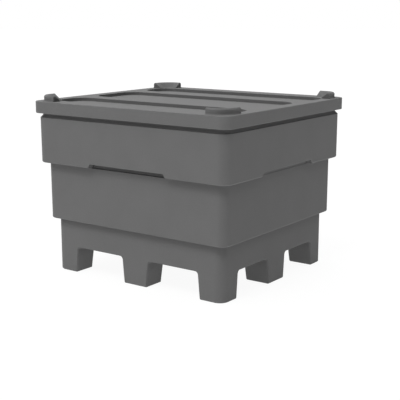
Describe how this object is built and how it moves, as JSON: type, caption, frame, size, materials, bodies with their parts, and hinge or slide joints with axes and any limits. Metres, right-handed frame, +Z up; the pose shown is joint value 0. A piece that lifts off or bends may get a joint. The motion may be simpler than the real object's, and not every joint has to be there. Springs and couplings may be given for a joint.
{
  "type": "combo bin with lid",
  "caption": "Nestable stepped bulk bin on hollow legs with fork entry from every side, grip pockets under its upper band, and a lift-off lid with corner lugs for stacking.",
  "frame": {"origin": "on the floor under the centre of the bin, in the plane of its feet", "axes": "+X along the long side, +Y along the short side, +Z up to the lid"},
  "size_m": [1.22, 1.11, 0.9228],
  "materials": {
    "bin_plastic": "rotationally moulded grey polyethylene, matt",
    "lid_plastic": "rotationally moulded grey polyethylene, matt"
  },
  "bodies": {
    "bin": {"bin_body": "bin_plastic"},
    "lid": {"lid": "lid_plastic"}
  },
  "joints": [
    {"name": "lid_lift", "type": "slide", "parent": "bin", "child": "lid", "axis": [0, 0, 1], "range_m": [0, 1]}
  ]
}
